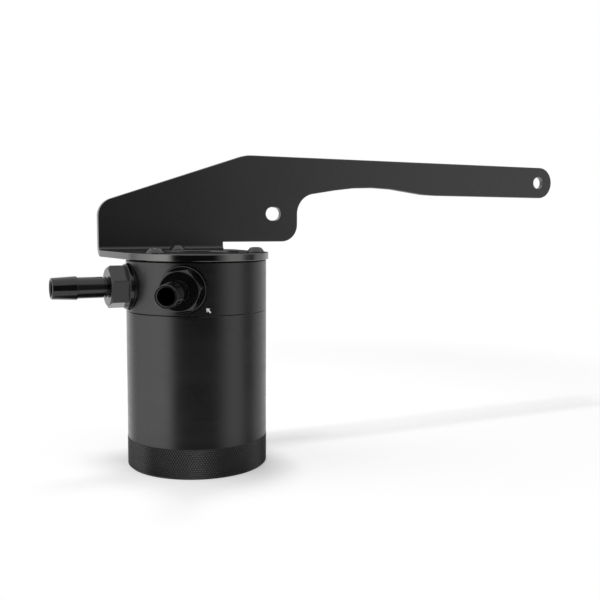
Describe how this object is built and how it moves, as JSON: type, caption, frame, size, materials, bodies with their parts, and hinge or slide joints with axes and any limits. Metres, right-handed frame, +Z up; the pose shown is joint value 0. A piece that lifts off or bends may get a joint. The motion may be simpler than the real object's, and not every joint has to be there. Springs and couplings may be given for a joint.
{
  "type": "oil catch can",
  "caption": "Baffled oil catch can: a knurled screw-on cup under a ported head with barbed hose fittings, held by a folded sheet bracket with a long drilled arm.",
  "frame": {"origin": "centre of the cup's flat base", "axes": "+Z up along the can's axis, +X along the bracket's arm, +Y out of the back of the bracket's upright plate"},
  "size_m": [0.3152, 0.0987, 0.147],
  "materials": {
    "body_black": "satin black anodise over fine turning marks",
    "bracket_coat": "satin black powder coat",
    "screw_black": "black oxide",
    "fitting_black": "bright black anodise",
    "washer_black": "black anodise",
    "seal_rubber": "smooth black rubber",
    "bare_steel": "bare stainless steel",
    "sintered_bronze": "granular sintered bronze"
  },
  "bodies": {
    "cup": {"cup": "body_black"},
    "seal": {"cup_seal": "seal_rubber"},
    "head": {"bracket": "bracket_coat", "bracket_screw_1": "screw_black", "bracket_screw_2": "screw_black", "bracket_screw_3": "screw_black", "head": "body_black", "inlet_fitting": "fitting_black", "inlet_washer": "washer_black", "inlet_seal": "seal_rubber", "outlet_fitting": "fitting_black", "outlet_washer": "washer_black", "outlet_seal": "seal_rubber", "inlet_tube": "bare_steel", "baffle": "bare_steel", "baffle_screw_1": "bare_steel", "baffle_screw_2": "bare_steel", "baffle_screw_3": "bare_steel", "filter_element": "sintered_bronze", "filter_ring": "bare_steel"}
  },
  "joints": [
    {"name": "head_lift", "type": "slide", "parent": "cup", "child": "seal", "axis": [0, 0, 1], "range_m": [0, 0.0075]},
    {"name": "head_unscrew", "type": "hinge", "parent": "seal", "child": "head", "pos_m": [0, 0, 0], "axis": [0, 0, 1], "range_deg": [0, 1800]}
  ],
  "couplings": [
    {"joint": "head_lift", "follows": "head_unscrew", "m_per_rad": 0.00023873}
  ]
}
